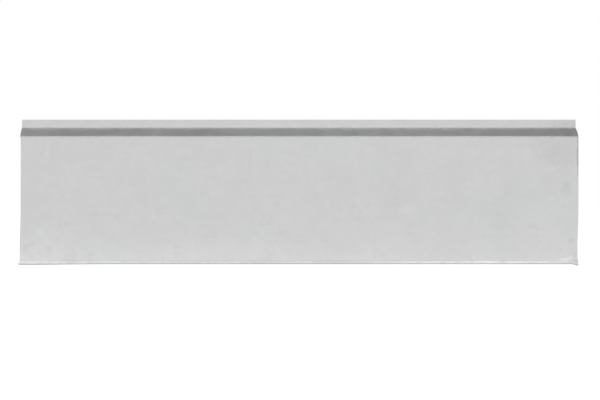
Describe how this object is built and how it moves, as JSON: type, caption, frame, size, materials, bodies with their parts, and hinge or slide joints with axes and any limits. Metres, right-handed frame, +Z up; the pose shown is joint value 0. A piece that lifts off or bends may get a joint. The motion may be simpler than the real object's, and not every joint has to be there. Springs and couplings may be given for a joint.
{
  "type": "kick plate",
  "caption": "Long galvanised sheet steel kick plate for under a door sill, with a set-back nailing lip, a flat face and a hemmed drip edge that kicks outward.",
  "frame": {"origin": "middle of the lip's back face, where the plate meets the framing under the door sill", "axes": "+X along the plate, +Y out of the lip's back face towards the wall, +Z up"},
  "size_m": [0.9144, 0.0191, 0.2373],
  "materials": {
    "galvanised_sheet": "hot-dip galvanised, small low-contrast spangle, satin"
  },
  "bodies": {
    "root": {"kick_plate": "galvanised_sheet"}
  },
  "joints": []
}
